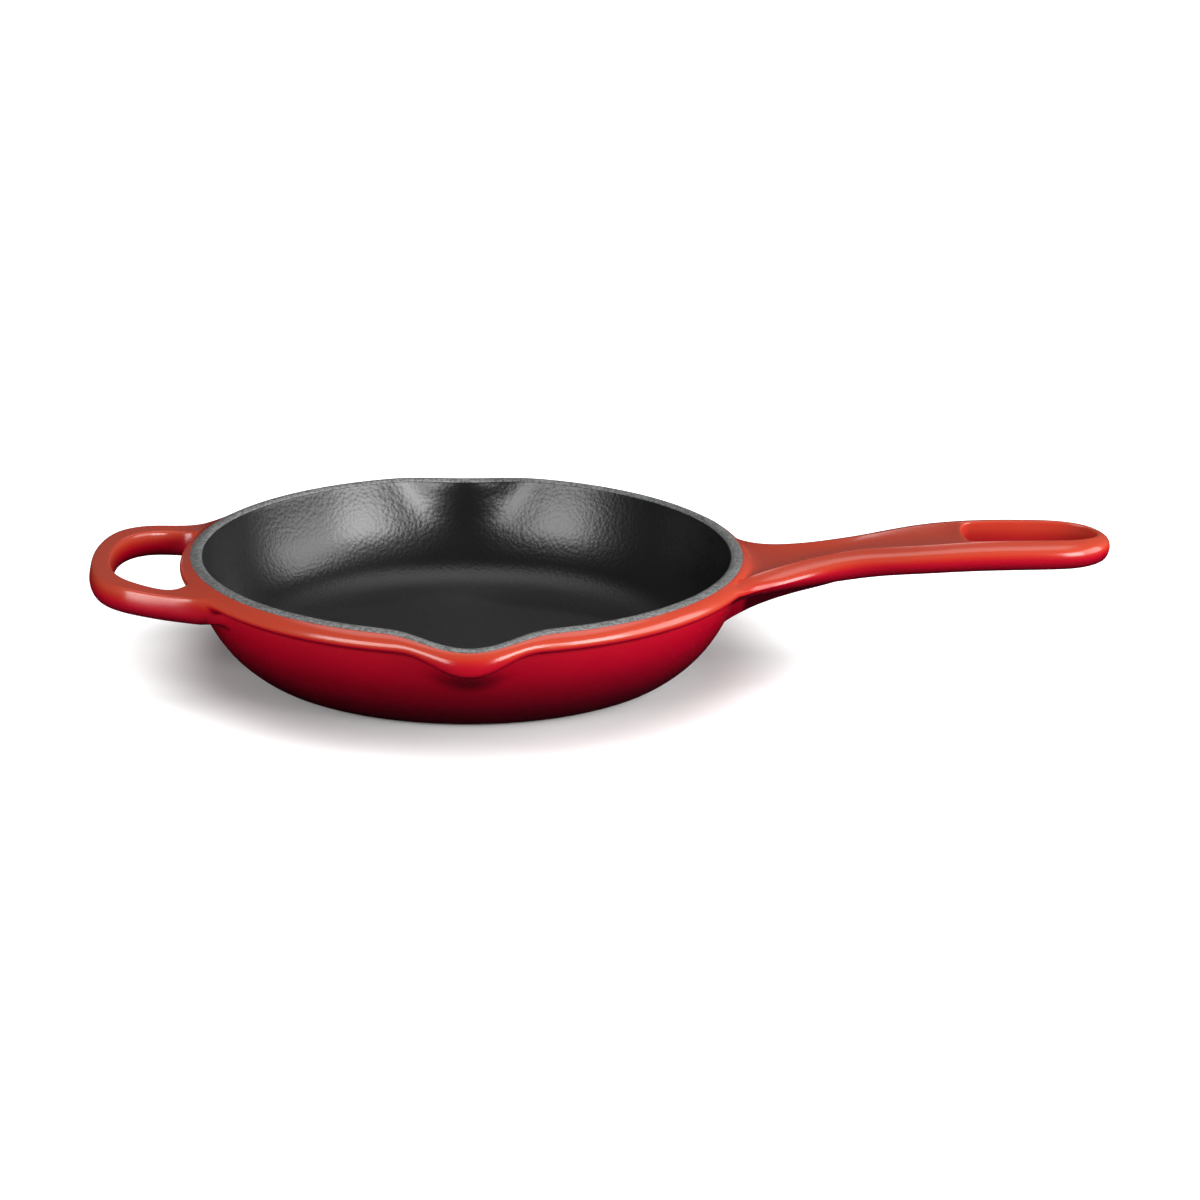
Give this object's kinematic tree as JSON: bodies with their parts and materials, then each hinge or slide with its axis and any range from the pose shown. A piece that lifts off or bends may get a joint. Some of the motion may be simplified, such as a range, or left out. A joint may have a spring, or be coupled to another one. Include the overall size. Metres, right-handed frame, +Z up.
{
  "type": "cast iron skillet",
  "caption": "Enamelled cast iron skillet with side pouring spouts, a long slotted handle and a bail-shaped helper handle, orange-red outside and satin black inside.",
  "frame": {"origin": "centre of the bowl's flat underside, on the table", "axes": "+Z up, +X from the bowl's centre along the long handle, +Y towards one pouring spout"},
  "size_m": [0.4235, 0.2546, 0.0547],
  "materials": {
    "grey_iron": "as cast, under the enamel",
    "satin_black_enamel": "satin",
    "grey_ground_coat": "satin",
    "flame_red_enamel": "gloss",
    "cherry_red_enamel": "gloss",
    "base_enamel": "gloss"
  },
  "bodies": {
    "root": {"bowl_casting": "grey_iron", "long_handle_casting": "grey_iron", "helper_handle_casting": "grey_iron", "interior_enamel": "satin_black_enamel", "rim_ground_coat": "grey_ground_coat", "rim_band_enamel": "flame_red_enamel", "wall_enamel": "cherry_red_enamel", "base_enamel": "base_enamel", "long_handle_enamel": "flame_red_enamel", "helper_handle_enamel": "flame_red_enamel"}
  },
  "joints": []
}
